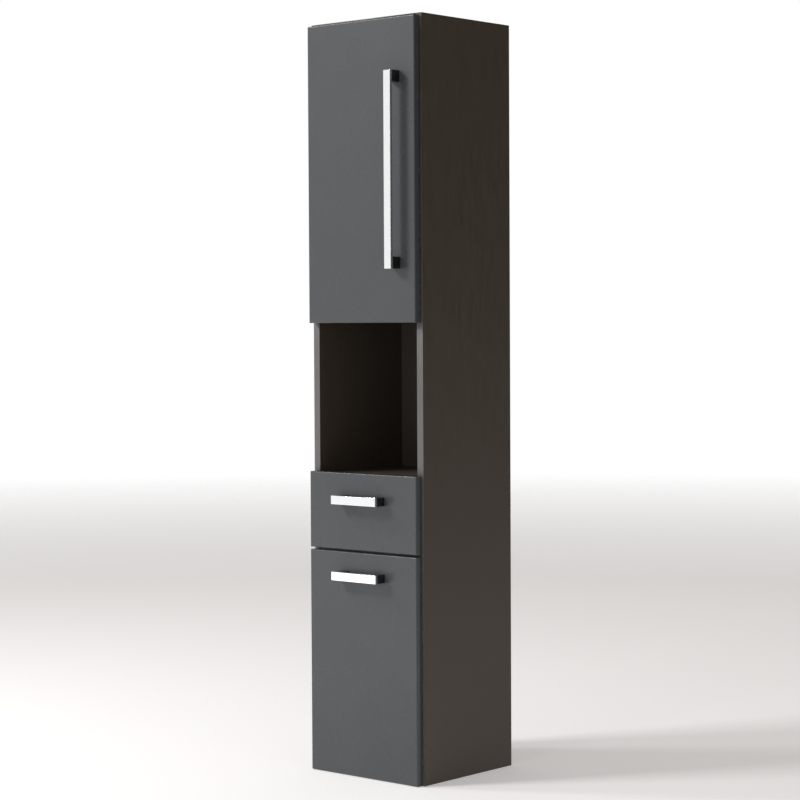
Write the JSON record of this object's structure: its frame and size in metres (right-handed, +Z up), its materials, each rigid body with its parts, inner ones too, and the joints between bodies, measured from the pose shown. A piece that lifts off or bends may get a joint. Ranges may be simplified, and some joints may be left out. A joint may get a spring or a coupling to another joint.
{
  "type": "tall bathroom cabinet",
  "caption": "Narrow tall cabinet: upper cupboard with bow handle, open niche, drawer and lower cupboard, doors on concealed hinges, hung on a wall rail.",
  "frame": {"origin": "centre of the carcass's underside", "axes": "+Z up, +X to the right along the fronts, -Y towards the person in front"},
  "size_m": [0.3, 0.3291, 1.555],
  "materials": {
    "front_lacquer": "board with smooth satin grey lacquer",
    "carcass_board": "board with fine-grained dark brown-grey coating",
    "polished_chrome": "polished",
    "plated_steel": "nickel plated",
    "cast_fittings": "as cast",
    "hanger_plastic": "moulded",
    "beech": "raw",
    "bumper_rubber": "soft, translucent grey",
    "hardboard": "coated hardboard",
    "drawer_board": "light grey coated board"
  },
  "bodies": {
    "root": {"back_panel": "hardboard", "bottom_panel": "carcass_board", "cam_bolts": "plated_steel", "cam_locks": "cast_fittings", "drawer_divider": "carcass_board", "hanger_screws": "plated_steel", "hinge_arm_pins": "plated_steel", "hinge_arm_screws": "plated_steel", "hinge_arms": "plated_steel", "hinge_plate_screws": "plated_steel", "hinge_plates": "plated_steel", "lower_shelf": "carcass_board", "niche_ceiling": "carcass_board", "niche_floor": "carcass_board", "shelf_pins": "plated_steel", "side_panel_left": "carcass_board", "side_panel_right": "carcass_board", "slide_rail_left": "plated_steel", "slide_rail_right": "plated_steel", "slide_rail_screws": "plated_steel", "top_panel": "carcass_board", "upper_shelf_high": "carcass_board", "upper_shelf_low": "carcass_board", "wall_hangers": "hanger_plastic", "wall_rail": "plated_steel", "wood_dowels": "beech"},
    "upper_outer_link": {"upper_outer_links": "plated_steel"},
    "upper_inner_link": {"upper_inner_links": "plated_steel"},
    "upper_door_leaf": {"upper_door": "front_lacquer", "upper_handle": "polished_chrome", "upper_handle_screws": "plated_steel", "upper_bumpers": "bumper_rubber", "upper_hinge_cups": "plated_steel", "upper_cup_screws": "plated_steel", "upper_cup_pins": "plated_steel"},
    "lower_outer_link": {"lower_outer_links": "plated_steel"},
    "lower_inner_link": {"lower_inner_links": "plated_steel"},
    "lower_door_leaf": {"lower_door": "front_lacquer", "lower_handle": "polished_chrome", "lower_handle_screws": "plated_steel", "lower_bumpers": "bumper_rubber", "lower_hinge_cups": "plated_steel", "lower_cup_screws": "plated_steel", "lower_cup_pins": "plated_steel"},
    "middle_left": {"slide_middle_left": "plated_steel"},
    "middle_right": {"slide_middle_right": "plated_steel"},
    "drawer": {"drawer_front": "front_lacquer", "drawer_handle": "polished_chrome", "drawer_handle_screws": "plated_steel", "drawer_box_front": "drawer_board", "drawer_side_left": "drawer_board", "drawer_side_right": "drawer_board", "drawer_back": "drawer_board", "drawer_bottom": "hardboard", "drawer_front_screws": "plated_steel", "drawer_dowels": "beech", "slide_runner_left": "plated_steel", "slide_runner_right": "plated_steel", "slide_runner_screws": "plated_steel"}
  },
  "joints": [
    {"name": "upper_outer_link_turn", "type": "hinge", "parent": "root", "child": "upper_outer_link", "pos_m": [-0.116, -0.14885, 1.243], "axis": [0, 0, -1], "range_deg": [-50, 0]},
    {"name": "upper_inner_link_turn", "type": "hinge", "parent": "root", "child": "upper_inner_link", "pos_m": [-0.1105, -0.14645, 1.243], "axis": [0, 0, -1], "range_deg": [-11, 0]},
    {"name": "upper_door_swing", "type": "hinge", "parent": "upper_outer_link", "child": "upper_door_leaf", "pos_m": [-0.13214, -0.14609, 1.243], "axis": [0, 0, -1], "range_deg": [0, 144.5]},
    {"name": "lower_outer_link_turn", "type": "hinge", "parent": "root", "child": "lower_outer_link", "pos_m": [-0.116, -0.14885, 0.2325], "axis": [0, 0, -1], "range_deg": [-50, 0]},
    {"name": "lower_inner_link_turn", "type": "hinge", "parent": "root", "child": "lower_inner_link", "pos_m": [-0.1105, -0.14645, 0.2325], "axis": [0, 0, -1], "range_deg": [-11, 0]},
    {"name": "lower_door_swing", "type": "hinge", "parent": "lower_outer_link", "child": "lower_door_leaf", "pos_m": [-0.13214, -0.14609, 0.2325], "axis": [0, 0, -1], "range_deg": [0, 144.5]},
    {"name": "drawer_slide", "type": "slide", "parent": "root", "child": "drawer", "axis": [0, -1, 0], "range_m": [0, 0.25]},
    {"name": "middle_left_slide", "type": "slide", "parent": "root", "child": "middle_left", "axis": [0, -1, 0], "range_m": [0, 0.125]},
    {"name": "middle_right_slide", "type": "slide", "parent": "root", "child": "middle_right", "axis": [0, -1, 0], "range_m": [0, 0.125]}
  ],
  "couplings": [
    {"joint": "upper_outer_link_turn", "follows": "upper_door_swing", "ratio": -0.34254},
    {"joint": "upper_inner_link_turn", "follows": "upper_door_swing", "ratio": -0.073964},
    {"joint": "lower_outer_link_turn", "follows": "lower_door_swing", "ratio": -0.34254},
    {"joint": "lower_inner_link_turn", "follows": "lower_door_swing", "ratio": -0.073964},
    {"joint": "middle_left_slide", "follows": "drawer_slide", "ratio": 0.5},
    {"joint": "middle_right_slide", "follows": "drawer_slide", "ratio": 0.5}
  ]
}
